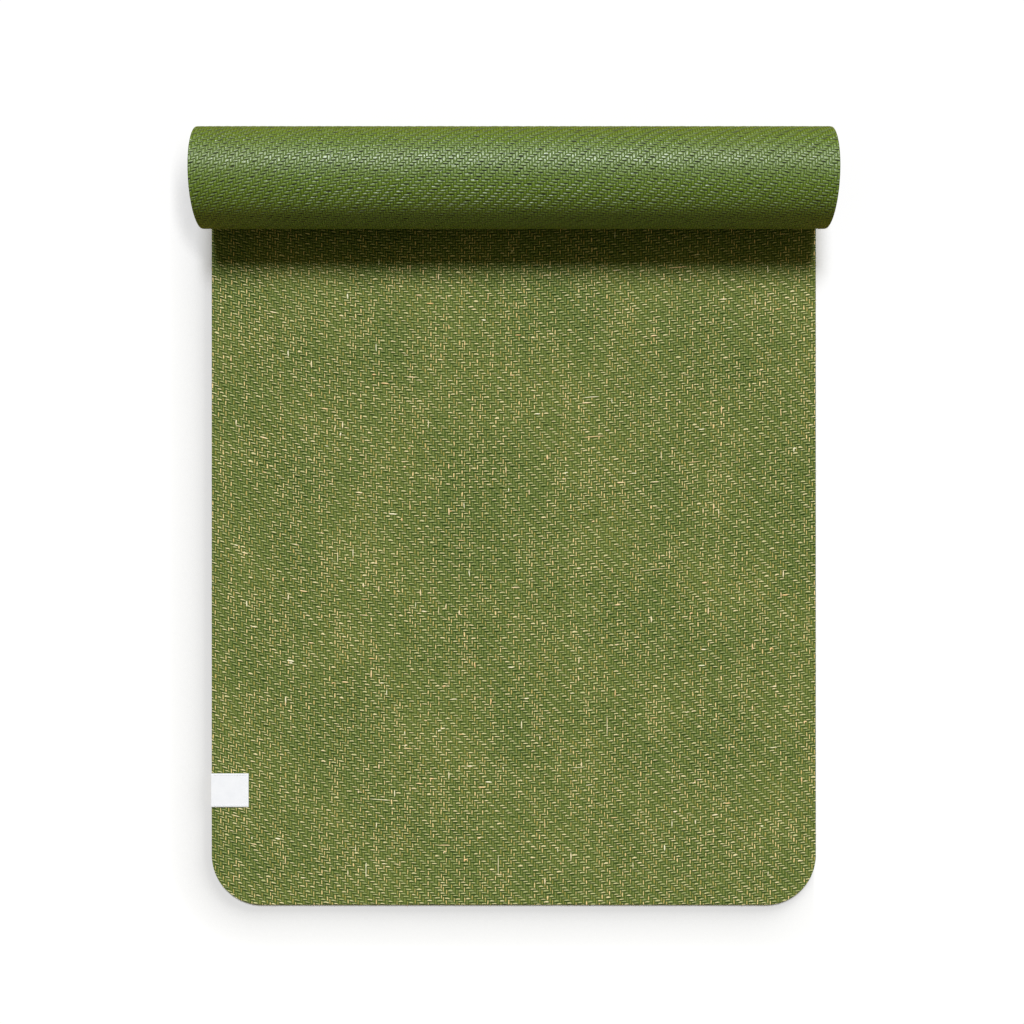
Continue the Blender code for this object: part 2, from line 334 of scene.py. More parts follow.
def side_places(s0, s1):
    """Places along a side edge, closer together round the corners."""
    straight = np.arange(s0, s1, WEFT_PITCH / STEPS_A_WEFT)
    round_off = CORNER * (1 - np.cos(np.linspace(0, math.pi / 2, CORNER_STEPS)))
    both = np.concatenate([straight, round_off, LENGTH - round_off, [s0, s1]])
    return np.unique(np.round(both[(both >= s0) & (both <= s1)], 7))


def add_edges(piece, s0, s1):
    """The cut sides between two lines across the mat, and its cut ends where they lie between them."""
    s = side_places(s0, s1)
    for side, sign in ((0, -1), (1, 1)):
        x = sign * half_width_at(s)
        along_corner = np.clip(CORNER - from_end(s), 0, CORNER)
        nx = sign * np.sqrt(1 - (along_corner / CORNER) ** 2)
        ns = np.where(s < LENGTH / 2, -1, 1) * along_corner / CORNER
        i, j = thread_place(x, s)
        along = j + i * (along_corner > WARP_ENDS_FROM * CORNER)
        add_cut(piece, *(values[::sign] for values in (x, s, nx, ns, along)), side)
    for side, at, way in ((2, 0.0, -1), (3, LENGTH, 1)):
        if s0 <= at <= s1:
            x = np.linspace(-1, 1, END_STEPS) * (HALF_WIDTH - CORNER) * -way
            s_end = np.full(x.shape, at)
            i, _ = thread_place(x, s_end)
            add_cut(piece, x, s_end, np.zeros(x.shape), np.full(x.shape, float(way)), i, side)


def unit(vectors):
    return vectors / np.maximum(np.linalg.norm(vectors, axis=1, keepdims=True), TINY)


def tube(path, radii, sides, flatness=1.0, across=None):
    """Rings of vertices along a path, flattened upright, and the quads between them."""
    ahead = unit(np.gradient(path, axis=0))
    if across is None:
        across = unit(np.cross(ahead, np.array([0.02, 0.05, 1.0])))
    normal = np.cross(across, ahead)
    angle = (np.arange(sides) * math.tau / sides)[None, :, None]
    ring = path[:, None] + radii[:, None, None] * (
        across[:, None] * np.cos(angle) + flatness * normal[:, None] * np.sin(angle))
    grid = np.arange(len(path) * sides).reshape(len(path), sides)
    closed = np.concatenate([grid, grid[:, :1]], axis=1)
    return ring.reshape(-1, 3), grid_quads(closed)[:, ::-1]


def distance_along(path):
    return np.concatenate([[0], np.cumsum(np.linalg.norm(np.diff(path, axis=0), axis=1))])


# Looks


def srgb(*values):
    linear = [v / 255 / 12.92 if v <= 10 else ((v / 255 + 0.055) / 1.055) ** 2.4 for v in values]
    return (*linear, 1.0)


# The coat on the upper face, painted a shade darker in its gaps and with painted shadow under the wefts, and the bare
# jute in it
COAT_GAP_SHADE, COAT_HIGH = srgb(65, 87, 26), srgb(108, 125, 62)
COAT_HOLLOW_SHADOW, COAT_PATCH = srgb(23, 49, 0), srgb(133, 142, 66)
WEFT_DULL, WEFT_BRIGHT = srgb(208, 206, 144), srgb(248, 229, 177)
WARP_DULL, WARP_BRIGHT = srgb(206, 165, 76), srgb(255, 219, 155)

# The coat on the lower face, painted a shade darker in its gaps and with painted shadow under the wefts
UNDER_GAP_SHADE, UNDER_HIGH, UNDER_HOLLOW_SHADOW = srgb(49, 79, 5), srgb(101, 130, 22), srgb(6, 18, 0)
UNDER_PATCH, UNDER_DULL, UNDER_SHEEN = srgb(98, 114, 21), srgb(117, 140, 81), srgb(201, 148, 5)

# Cut edges and fibres
CUT_JUTE, CUT_JUTE_PALE = srgb(178, 129, 66), srgb(235, 197, 129)
CUT_COAT, CUT_COAT_PALE = srgb(47, 64, 19), srgb(93, 108, 42)
FIBRE_GOLD, FIBRE_PALE, FIBRE_STREAK = srgb(246, 206, 140), srgb(255, 254, 216), srgb(218, 165, 98)

# The label, its thread and the floor
LABEL_SHADE, LABEL_WHITE = srgb(241, 243, 248), srgb(252, 253, 255)
COTTON_SHADE, COTTON_WHITE = srgb(206, 208, 214), srgb(238, 239, 243)
FLOOR_SHADE, FLOOR_WHITE, BLACK = srgb(250, 250, 250), srgb(253, 253, 253), srgb(0, 0, 0)
FLOOR_BOUNCE = srgb(152, 133, 66)


class Look:
    """A procedural material on one Principled shader."""

    def __init__(self, name, slots):
        self.material = bpy.data.materials.new(name)
        self.material.use_nodes = True
        self.tree = self.material.node_tree
        self.shader = self.tree.nodes["Principled BSDF"]
        for key, value in slots.items():
            self.shader.inputs[key].default_value = value

    def node(self, kind, settings=None, inputs=None, out=0):
        made = self.tree.nodes.new("ShaderNode" + kind)
        for key, value in (settings or {}).items():
            setattr(made, key, value)
        for key, value in (inputs or {}).items():
            if isinstance(value, bpy.types.NodeSocket):
                self.tree.links.new(value, made.inputs[key])
            else:
                made.inputs[key].default_value = value
        return made.outputs[out]

    def math(self, operation, *values):
        return self.node("Math", {"operation": operation}, dict(enumerate(values)))

    def plus(self, first, second):
        return self.math("ADD", first, second)

    def less(self, first, second):
        return self.math("SUBTRACT", first, second)

    def times(self, first, second):
        return self.math("MULTIPLY", first, second)

    def apart(self, first, second):
        return self.math("ABSOLUTE", self.less(first, second))

    def floor(self, value):
        return self.math("FLOOR", value)

    def fract(self, value):
        return self.math("FRACT", value)

    def ramp(self, value, low, high, to_low=0.0, to_high=1.0):
        settings = {"interpolation_type": "SMOOTHSTEP", "clamp": True}
        return self.node("MapRange", settings, {0: value, 1: low, 2: high, 3: to_low, 4: to_high})

    def mix(self, share, first, second):
        return self.node("Mix", {"data_type": "RGBA"}, {0: share, 6: first, 7: second}, 2)

    def split(self, place):
        made = self.tree.nodes.new("ShaderNodeSeparateXYZ")
        self.tree.links.new(place, made.inputs[0])
        return made.outputs

    def threads(self):
        """Places in the weave: in warps across and in wefts along."""
        i, j, _ = self.split(self.node("UVMap", {"uv_map": "weave"}))
        return i, j

    def vector(self, x, y, z=0.0):
        return self.node("CombineXYZ", None, {0: x, 1: y, 2: z})

    def chance(self, x, y, z):
        return self.node("TexWhiteNoise", {"noise_dimensions": "3D"}, {"Vector": self.vector(x, y, z)})

    def noise(self, vector, scale, detail=2.0, rough=0.5):
        return self.node("TexNoise", None, {"Vector": vector, "Scale": scale, "Detail": detail, "Roughness": rough})

    def cloud(self, x, y, scale_x, scale_y, slice_at=0.0, detail=2.0, rough=0.5):
        """Noise over two coordinates, each at its own scale."""
        place = self.vector(self.times(x, scale_x), self.times(y, scale_y), slice_at)
        return self.noise(place, 1.0, detail, rough)

    def link(self, output, name):
        self.tree.links.new(output, self.shader.inputs[name])

    def bump(self, height, distance):
        self.link(self.node("Bump", None, {"Strength": 1.0, "Distance": distance, "Height": height}), "Normal")


def twill(look, shift, below, uneven):
    """Sockets that say where each point is in the weave: on a weft float, on a warp float, and which.

    Each weft float has a dip "below" its middle, on its side away from the light, which the faces paint dark as its
    shadow; the shallowest dip is "uneven" as deep as the deepest.
    """
    repeat, weft_middle, warp_middle = float(REPEAT), 1.0, 3.0
    i, j = look.threads()
    sway = look.cloud(i, j, 0.7, 0.14, slice_at=4.0, detail=1.0)
    drift = look.cloud(i, j, 0.14, 0.7, slice_at=9.0, detail=1.0)
    i = look.math("MULTIPLY_ADD", look.less(sway, 0.5), 0.9, i)
    j = look.math("MULTIPLY_ADD", look.less(drift, 0.5), 1.0, j)
    warp, weft = look.floor(i), look.floor(j)
    weft_sum = look.plus(look.plus(i, weft), float(shift))
    warp_sum = look.plus(look.plus(warp, j), float(shift))
    weft_phase = look.math("FLOORED_MODULO", weft_sum, repeat)
    warp_phase = look.math("FLOORED_MODULO", warp_sum, repeat)
    along_weft = look.apart(weft_phase, weft_middle)
    along_warp = look.apart(warp_phase, warp_middle)
    off_weft = look.apart(look.fract(j), 0.5)
    off_warp = look.apart(look.fract(i), 0.5)
    weft_chance = look.chance(look.floor(look.math("DIVIDE", weft_sum, repeat)), weft, 3.7)
    warp_chance = look.chance(warp, look.floor(look.math("DIVIDE", warp_sum, repeat)), 8.3)
    j_above = look.less(j, below)
    sum_above = look.plus(look.plus(i, look.floor(j_above)), float(shift))
    along_above = look.apart(look.math("FLOORED_MODULO", sum_above, repeat), weft_middle)
    off_above = look.apart(look.fract(j_above), 0.5)
    shaded_hollow = look.times(look.ramp(off_above, 0.30, 0.04), look.ramp(along_above, 1.05, 0.45))
    which_above = look.floor(look.math("DIVIDE", sum_above, repeat))
    hollow_chance = look.chance(which_above, look.floor(j_above), 5.1)
    shaded_hollow = look.times(shaded_hollow, look.ramp(hollow_chance, 0.0, 0.9, uneven, 1.0))
    return SimpleNamespace(
        i=i, j=j, warp=warp, weft=weft, along_weft=along_weft, along_warp=along_warp, off_weft=off_weft,
        off_warp=off_warp, weft_chance=weft_chance, warp_chance=warp_chance, shaded_hollow=shaded_hollow)


def thread_bump(look, t, grain, crown):
    """Round threads that dive under each other at the ends of their floats, with a fine grain."""
    weft = look.times(look.ramp(t.off_weft, 0.5, crown), look.ramp(t.along_weft, 1.15, 0.6))
    warp = look.times(look.ramp(t.off_warp, 0.5, crown), look.ramp(t.along_warp, 1.15, 0.6))
    body = look.math("MAXIMUM", weft, warp)
    height = look.plus(body, look.times(grain, 0.22))
    return body, look.less(height, look.times(t.shaded_hollow, 0.55))


def jute_face():
    """The upper face: floats of bare jute show through the coat as dashes, more in some runs and patches."""
    look = Look("jute_face", {
        "Roughness": 0.75, "Specular IOR Level": 0.15, "Sheen Weight": 0.12, "Sheen Roughness": 0.5})
    t = twill(look, shift=0, below=-0.46, uneven=0.7)
    patch = look.cloud(t.i, t.j, 0.024, 0.024, detail=3.0, rough=0.6)
    warp_run = look.cloud(t.warp, t.j, 1.37, 0.035, detail=1.0)
    weft_run = look.cloud(t.i, t.weft, 0.035, 1.71, slice_at=5.0, detail=1.0)
    fray = look.cloud(t.i, t.j, 2.2, 2.2, slice_at=1.3)
    ragged = look.times(look.less(fray, 0.5), 0.36)
    bent = look.times(t.along_weft, t.along_weft)
    middle = look.less(0.58, look.times(bent, 0.16))
    from_middle = look.apart(look.fract(t.j), middle)
    off_weft = look.plus(look.plus(from_middle, look.times(bent, 0.07)), ragged)
    off_warp = look.plus(t.off_warp, ragged)
    weft_dash = look.times(look.ramp(off_weft, 0.225, 0.05), look.ramp(t.along_weft, 1.10, 0.62))
    warp_dash = look.times(look.ramp(off_warp, 0.195, 0.04), look.ramp(t.along_warp, 0.95, 0.50))
    weft_bare = look.plus(look.times(t.weft_chance, 0.35), look.plus(weft_run, look.times(patch, 0.3)))
    warp_bare = look.plus(look.times(t.warp_chance, 0.40),
                          look.plus(look.ramp(warp_run, 0.38, 0.68), look.times(patch, 0.3)))
    weft_show = look.times(weft_dash, look.ramp(weft_bare, 0.45, 1.15, 0.30, 1.0))
    warp_show = look.times(warp_dash, look.ramp(warp_bare, 0.40, 1.30, 0.15, 1.0))
    grain = look.cloud(t.i, t.j, 5.0, 5.0, slice_at=7.0)
    body, height = thread_bump(look, t, grain, crown=0.08)
    # The coat is painted a shade darker in the gaps between the threads' crowns: painted shade.
    coat = look.mix(look.ramp(body, 0.0, 0.7), COAT_GAP_SHADE, COAT_HIGH)
    # Painted shadow: the dips below the weft floats are painted dark.
    coat = look.mix(look.times(t.shaded_hollow, 0.88), coat, COAT_HOLLOW_SHADOW)
    coat = look.mix(look.ramp(patch, 0.35, 0.7, 0.0, 0.18), coat, COAT_PATCH)
    weft_tint = look.mix(look.math("POWER", t.weft_chance, 2.0), WEFT_DULL, WEFT_BRIGHT)
    warp_tint = look.mix(look.ramp(warp_bare, 0.7, 1.35), WARP_DULL, WARP_BRIGHT)
    colour = look.mix(weft_show, coat, weft_tint)
    colour = look.mix(warp_show, colour, warp_tint)
    look.link(colour, "Base Color")
    look.bump(height, 0.00042)
    return look.material


def coat_face():
    """The lower face, which is the roll's outside: all coat, with a low sheen, painted shade in the gaps between
    threads, and dull, dark hollows whose darkness is painted shadow.
    """
    look = Look("coat_face", {
        "Specular IOR Level": 1.0, "Sheen Weight": 0.30, "Sheen Roughness": 0.35, "Sheen Tint": UNDER_SHEEN})
    t = twill(look, shift=2, below=0.46, uneven=0.45)
    patch = look.cloud(t.i, t.j, 0.03, 0.03, slice_at=2.0, detail=3.0, rough=0.6)
    grain = look.cloud(t.i, t.j, 4.0, 4.0, slice_at=3.0, detail=3.0)
    body, height = thread_bump(look, t, grain, crown=0.2)
    # The coat is painted a shade darker in the gaps between the threads' crowns: painted shade.
    colour = look.mix(look.ramp(body, 0.0, 0.6), UNDER_GAP_SHADE, UNDER_HIGH)
    # Painted shadow: the dips below the weft floats are painted dark, and they are also made rougher.
    deep = look.ramp(t.shaded_hollow, 0.0, 0.62)
    colour = look.mix(deep, colour, UNDER_HOLLOW_SHADOW)
    colour = look.mix(look.ramp(patch, 0.4, 0.75, 0.0, 0.2), colour, UNDER_PATCH)
    dull = look.times(t.weft_chance, look.ramp(t.along_weft, 1.0, 0.5))
    colour = look.mix(look.times(dull, 0.2), colour, UNDER_DULL)
    look.link(colour, "Base Color")
    shiny = look.times(look.math("POWER", t.weft_chance, 3.0), 0.12)
    rough = look.less(look.ramp(grain, 0.3, 0.75, 0.45, 0.57), shiny)
    look.link(look.math("MULTIPLY_ADD", deep, 0.5, rough), "Roughness")
    look.bump(height, 0.00050)
    return look.material


def cut_face():
    """A cut edge: round ends of jute thread in the coat, frayed."""
    look = Look("cut_face", {"Roughness": 0.85, "Specular IOR Level": 0.2})
    along, level = look.threads()
    end = look.apart(look.fract(along), 0.5)
    which = look.chance(look.floor(along), 4.0, 2.0)
    core = look.times(look.ramp(end, 0.36, 0.12), look.ramp(look.math("ABSOLUTE", level), 0.85, 0.45))
    fuzz = look.cloud(along, level, 3.0, 5.0, detail=3.0, rough=0.7)
    jute = look.mix(which, CUT_JUTE, CUT_JUTE_PALE)
    coat = look.mix(fuzz, CUT_COAT, CUT_COAT_PALE)
    share = look.times(core, look.ramp(look.plus(fuzz, look.times(which, 0.5)), 0.45, 0.85))
    look.link(look.mix(share, coat, jute), "Base Color")
    look.bump(fuzz, 0.0004)
    return look.material


def jute_fibre():
    """Slubs and loose fibres: each has its own tint, with streaks along it."""
    look = Look("jute_fibre", {"Roughness": 0.7, "Specular IOR Level": 0.25, "Sheen Weight": 0.15})
    i, j = look.threads()
    which = look.chance(look.floor(i), 1.0, 6.0)
    streak = look.noise(look.vector(i, look.times(j, 3.0)), 2.0, 2.0)
    colour = look.mix(which, FIBRE_GOLD, FIBRE_PALE)
    look.link(look.mix(look.ramp(streak, 0.4, 0.75, 0.0, 0.4), colour, FIBRE_STREAK), "Base Color")
    return look.material


def label_cloth():
    """Satin tape, with fine lines along its weft and ribs across them."""
    look = Look("woven_label", {
        "Roughness": 0.5, "Specular IOR Level": 0.4, "Sheen Weight": 0.2, "Sheen Roughness": 0.3})
    across, along = look.threads()
    fine = look.math("SINE", look.times(along, 520.0))
    ribs = look.plus(look.times(across, 900.0), look.times(look.floor(look.times(along, 83.0)), 2.1))
    rib = look.math("SINE", ribs)
    soft = look.noise(look.vector(across, along), 3.0, 3.0)
    weave = look.times(look.plus(fine, rib), 0.25)
    # The lows of the lines and ribs are painted a shade darker: painted shade.
    look.link(look.mix(look.ramp(look.plus(weave, soft), 0.0, 1.1), LABEL_SHADE, LABEL_WHITE), "Base Color")
    look.bump(look.plus(weave, look.times(soft, 0.6)), 0.00008)
    return look.material


def cotton():
    """Sewing thread of two plies."""
    look = Look("label_thread", {"Roughness": 0.65, "Specular IOR Level": 0.3, "Sheen Weight": 0.2})
    along, round_it = look.threads()
    ply = look.math("SINE", look.times(look.plus(along, round_it), 2 * math.tau))
    # The groove between the plies is painted a shade darker: painted shade.
    look.link(look.mix(look.ramp(ply, -1.0, 1.0), COTTON_SHADE, COTTON_WHITE), "Base Color")
    look.bump(ply, 0.00006)
    return look.material


looks = [jute_face(), coat_face(), cut_face(), jute_fibre()]


# Bake maps, in shares of their width and height. The flat stretch gives most of its map to the upper face, and a bend
# lays out each face in rows, one for each quarter of its width

FLAT_MARGIN, UPPER_WIDE, UPPER_HIGH = 0.002, 0.996, 0.90
LOWER_WIDE, LOWER_FROM, LOWER_HIGH = 0.8, 0.91, 0.055
BEND_MARGIN, BEND_WIDE, BAKE_ROWS = 0.004, 0.992, 4
ROW_INSET, ROW_FILL, ROW_HIGH = 0.03, 0.94, 0.11

# Cut edges: a row's left end and width, the first row's foot, and the rows' spacing and height
FLAT_CUTS, BEND_CUTS = (0.002, 0.8, 0.9675, 0.008, 0.006), (0.004, 0.992, 0.89, 0.02, 0.015)

# Fibres: the cells in a row, a row's left end, a cell's width, the first row's foot, and a cell's height
FLAT_FIBRES, BEND_FIBRES = (20, 0.82, 0.00875, 0.91, 0.0017), (60, 0.004, 0.0165, 0.972, 0.0125)
CELL_INSET = 0.1


def narrow_bake(place, middle, part, cuts, fibres):
    """Bake places for the cut edges, one to a row, and for the fibres, one to a cell."""
    left, width, foot, spacing, height = cuts
    side = np.clip(np.floor(middle[:, 1]), 0, CUT_SIDES - 1)
    on_cut = np.stack([left + width * place[:, 0], foot + spacing * side + height * (place[:, 1] - side)], 1)
    a_row, left, width, foot, height = fibres
    cell = np.floor(middle[:, 0])
    in_row = cell % a_row + place[:, 0] - cell
    on_fibre = np.stack([left + width * in_row, foot + height * (cell // a_row + place[:, 1])], 1)
    return np.where((part == CUT)[:, None], on_cut, on_fibre)


def flat_bake(place, middle, part):
    u = (place[:, 0] + HALF_WIDTH) / WIDTH
    v = place[:, 1] / FLAT_LENGTH
    on_upper = np.stack([FLAT_MARGIN + UPPER_WIDE * u, FLAT_MARGIN + UPPER_HIGH * v], 1)
    on_lower = np.stack([FLAT_MARGIN + LOWER_WIDE * u, LOWER_FROM + LOWER_HIGH * v], 1)
    narrow = narrow_bake(place, middle, part, FLAT_CUTS, FLAT_FIBRES)
    part = part[:, None]
    return np.where(part == UPPER, on_upper, np.where(part == LOWER, on_lower, narrow))


def bend_bake(s0, s1):
    def places(place, middle, part):
        quarter = np.clip(np.floor((middle[:, 0] + HALF_WIDTH) / WIDTH * BAKE_ROWS), 0, BAKE_ROWS - 1)
        u = (place[:, 0] + HALF_WIDTH) / WIDTH * BAKE_ROWS - quarter
        v = (place[:, 1] - s0) / (s1 - s0)
        row = quarter + BAKE_ROWS * (part == LOWER)
        on_face = np.stack([BEND_MARGIN + BEND_WIDE * u, (row + ROW_INSET + ROW_FILL * v) * ROW_HIGH], 1)
        narrow = narrow_bake(place, middle, part, BEND_CUTS, BEND_FIBRES)
        return np.where((part >= CUT)[:, None], narrow, on_face)
    return places


# Slubs and loose fibres

FIBRE_SIDES, FIBRE_GRAIN = 5, 4
SLUBS, LOW_SLUBS, FLAT_FUZZ = 240, 16, 620
SLUBS_A_METRE, FUZZ_A_METRE, END_FUZZ = 370, 450, 150

SLUB_POINTS, SLUB_REACH, SLUB_WANDER = 8, 0.295, 0.00008
UPRIGHT_SHARE, LONG_SHARE = 0.55, 0.03
HOOKED_FROM, HOOKED_TO, HOOK_WAY = 0.05, 0.12, 0.006
LONG_SLUB, SHORT_SLUB = (0.010, 0.024), (0.0026, 0.0085)
LONG_THICK, SHORT_THICK, SLUB_UNEVEN, SLUB_TIP = (0.0003, 0.0005), (0.0004, 0.0010), (0.8, 1.1), 0.04
FULL_FLATNESS, LOW_FLATNESS, LOW_SLUB_DROP = 0.6, 0.3, 0.0001
SLUB_FROM_LABEL = (0.005, 0.006)

FUZZ_POINTS, FUZZ_SIZE, FUZZ_CURL = 7, (0.0008, 0.0026), 0.5
FUZZ_LEAN_END, FUZZ_LEAN_SIDE, FUZZ_ROOT, FUZZ_SWAY = 0.5, 0.6, 0.0008, 0.4
FUZZ_HEIGHT, FUZZ_SLOPE, FUZZ_FROM_FLOOR, FUZZ_FROM_TOP = (-0.5, 0.9), (-0.3, 0.3), 0.0003, 0.0001
FUZZ_THICK, FUZZ_TIP, FUZZ_UNEVEN = 0.00011, 0.00004, (0.8, 1.6)
FUZZ_END_REACH, FUZZ_FROM_CORNER, FUZZ_FROM_LABEL = 0.255, 0.005, 0.003


def add_fibre(piece, x, s, height, radii, number, flatness):
    """One loose fibre, with its place in a row of bake cells."""
    points, quads = tube(in_world(x, s, height), radii, FIBRE_SIDES, flatness)
    first = np.arange(FIBRE_SIDES)
    ends = np.stack([first, len(points) - 1 - first])
    along = np.repeat(np.linspace(CELL_INSET, 1 - CELL_INSET, len(x)), FIBRE_SIDES)
    around = np.tile(np.linspace(CELL_INSET, 1 - CELL_INSET, FIBRE_SIDES), len(x))
    place = np.stack([number + along, around], 1)
    weave = np.stack([np.full(len(points), number + 0.5), along * FIBRE_GRAIN], 1)
    piece.add(points, weave, place, [quads, ends], FIBRE)


def add_slubs(piece, s0, s1, count, full, number):
    """Slubs of bare jute on the upper face. Those that aren't full lie low enough for the roll's layer gap."""
    for _ in range(count):
        x0, mid = random.uniform(-SLUB_REACH, SLUB_REACH), random.uniform(s0, s1)
        kind = random.random()
        long = (kind > 1 - LONG_SHARE or kind < LONG_SHARE) and full
        size = random.uniform(*(LONG_SLUB if long else SHORT_SLUB))
        t = np.linspace(-0.5, 0.5, SLUB_POINTS)
        wander = np.cumsum(random.normal(0, SLUB_WANDER, SLUB_POINTS))
        i, j = thread_place(np.array(x0), np.array(mid))
        if kind < UPRIGHT_SHARE:
            x0 = -HALF_WIDTH + (math.floor(i) + 0.5) * WARP_PITCH
            x, s = x0 + wander, mid + t * size
            if HOOKED_FROM < kind < HOOKED_TO:
                x, s = x + np.maximum(t, 0) * HOOK_WAY, s - np.maximum(t, 0) * size
        else:
            mid = (math.floor(j) + 0.5) * WEFT_PITCH + float(bow(np.array(x0)))
            x = x0 + t * size
            s = mid + bow(x) - bow(np.array(x0)) + wander
        thick = random.uniform(*(LONG_THICK if long else SHORT_THICK))
        taper = np.sqrt(np.clip(1 - (2.0 * t) ** 2, SLUB_TIP, 1))
        radii = thick * taper * random.uniform(*SLUB_UNEVEN, SLUB_POINTS)
        if near_label(x0, mid, *SLUB_FROM_LABEL):
            continue
        height = np.full(SLUB_POINTS, HALF if full else HALF - LOW_SLUB_DROP)
        add_fibre(piece, x, np.clip(s, s0, s1), height, radii, number, FULL_FLATNESS if full else LOW_FLATNESS)
        number += 1
    return number


def add_fuzz(piece, s0, s1, count, number):
    """Short fibres that stand out of the cut edges between two places along the mat."""
    ends = [at for at in (0.0, LENGTH) if s0 <= at <= s1]
    sides_from = max(s0, CORNER + FUZZ_FROM_CORNER)
    sides_to = min(s1, LENGTH - CORNER - FUZZ_FROM_CORNER)
    run_ends, run_sides = len(ends) * 2 * FUZZ_END_REACH, 2 * max(sides_to - sides_from, 0)
    if run_ends + run_sides == 0:
        return
    for _ in range(count):
        run = random.uniform(0, run_ends + run_sides)
        on_end = run < run_ends
        if on_end:
            x0, start = run - FUZZ_END_REACH, ends[0]
            out_x, out_s = random.normal(0, FUZZ_LEAN_END), (-1.0 if start == 0 else 1.0)
        else:
            left = run - run_ends < run_sides / 2
            x0, start = (-HALF_WIDTH if left else HALF_WIDTH), sides_from + (run - run_ends) % (run_sides / 2)
            out_x, out_s = (-1.0 if left else 1.0), random.normal(0, FUZZ_LEAN_SIDE)
        if near_label(x0, start, 0.0, FUZZ_FROM_LABEL):
            continue
        t = np.linspace(0, 1, FUZZ_POINTS)
        size = random.uniform(*FUZZ_SIZE)
        curl = random.normal(0, FUZZ_CURL)
        ahead, aside = np.cos(curl * t), np.sin(curl * t)
        x = x0 - FUZZ_ROOT * np.sign(out_x) * (not on_end)
        x = x + size * t * out_x * ahead + size * t * FUZZ_SWAY * out_s * aside
        s = start - FUZZ_ROOT * out_s * on_end + size * t * out_s * ahead + size * t * FUZZ_SWAY * aside
        height = random.uniform(*FUZZ_HEIGHT) * HALF + t * size * random.uniform(*FUZZ_SLOPE)
        height = np.clip(height, -HALF + FUZZ_FROM_FLOOR, HALF - FUZZ_FROM_TOP)
        radii = np.linspace(FUZZ_THICK, FUZZ_TIP, FUZZ_POINTS) * random.uniform(*FUZZ_UNEVEN)
        add_fibre(piece, x, s, height, radii, number, 1.0)
        number += 1


# The flat stretch. Its slubs lie low in the strip that the roll is over

FULL_SLUBS_FROM, FULL_SLUBS_TO, LOW_SLUBS_TO = 0.02, 0.66, 0.716
FLAT_FUZZ_GAP = 0.004

flat = Piece()
add_face(flat, 0.0, FLAT_LENGTH, upper=True, fine=True)
add_face(flat, 0.0, FLAT_LENGTH, upper=False, fine=False)
add_edges(flat, 0.0, FLAT_LENGTH)
made = add_slubs(flat, FULL_SLUBS_FROM, FULL_SLUBS_TO, SLUBS, True, 0)
made = add_slubs(flat, FULL_SLUBS_TO, LOW_SLUBS_TO, LOW_SLUBS, False, made)
add_fuzz(flat, 0.0, FLAT_LENGTH - FLAT_FUZZ_GAP, FLAT_FUZZ, made)

flat_sheet = flat.build("jute_sheet_flat", looks, flat_bake)
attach(flat_sheet, "flat")
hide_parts("mat_flat")


# The bends: the rise, then the roll, whose inner bends have a smooth lower face. Fibres keep clear of a bend's lines

FINE_BENDS, FIBRE_GAP, END_GAP = 11, 0.0015, 0.012

edges = [FLAT_LENGTH + float(length_at(k * STEP_TURNING)) for k in range(BENDS + 1)] + [LENGTH]
bodies = ["flat"] + [f"strip_{k:02d}" for k in range(1, BENDS + 1)]
for k in range(BENDS + 1):
    s0, s1 = edges[k], edges[k + 1]
    bend = Piece()
    add_face(bend, s0, s1, upper=True, fine=True)
    add_face(bend, s0, s1, upper=False, fine=k < FINE_BENDS)
    add_edges(bend, s0, s1)
    last = k == BENDS
    low, high = s0 + FIBRE_GAP, min(s1 - FIBRE_GAP, LENGTH - END_GAP)
    made = add_slubs(bend, low, high, round((high - low) * SLUBS_A_METRE), False, 0) if high > low else 0
    add_fuzz(bend, low, LENGTH if last else high, END_FUZZ if last else round((s1 - s0) * FUZZ_A_METRE), made)
    obj = bend.build("jute_sheet_end" if last else f"jute_sheet_bend_{k + 1:02d}", looks, bend_bake(s0, s1))
    if last:
        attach(obj, bodies[k])
    else:
        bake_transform(obj)
    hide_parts("mat_rise" if k == 0 else f"mat_strip_{k:02d}")


# The label

LEAF_STEPS, FOLD_STEPS, EDGE_FACE_STEPS, FOLD_FROM, ACROSS_STEPS = 44, 7, 6, 0.2, 41
WAVE_HEIGHT, WAVE_ALONG, WAVE_ACROSS, WAVE_SHIFT = 0.00006, 420, 2.6, 0.7
INNER_WAVE, WAVES_ABOVE = 0.5, 0.002
HEM_SHARE, HEM_DROP = 0.07, 0.00015


def label_path(distance):
    """The tape's path at this distance from the mat, across the mat and up, from the upper tip to the lower."""
    fold = np.linspace(FOLD_FROM, math.pi / 2, FOLD_STEPS)
    low = -RECESS_DEPTH
    path = [(x, HALF + distance) for x in np.linspace(LABEL_TIP, -HALF_WIDTH, LEAF_STEPS)]
    path += [(-HALF_WIDTH - distance * math.sin(a), HALF + distance * math.cos(a)) for a in fold]
    path += [(-HALF_WIDTH - distance, z) for z in np.linspace(HALF, low, EDGE_FACE_STEPS)[1:]]
    path += [(-HALF_WIDTH - distance * math.cos(a), low - distance * math.sin(a)) for a in fold]
    path += [(x, low - distance) for x in np.linspace(-HALF_WIDTH, LABEL_TIP, LEAF_STEPS)[1:]]
    return np.array(path)


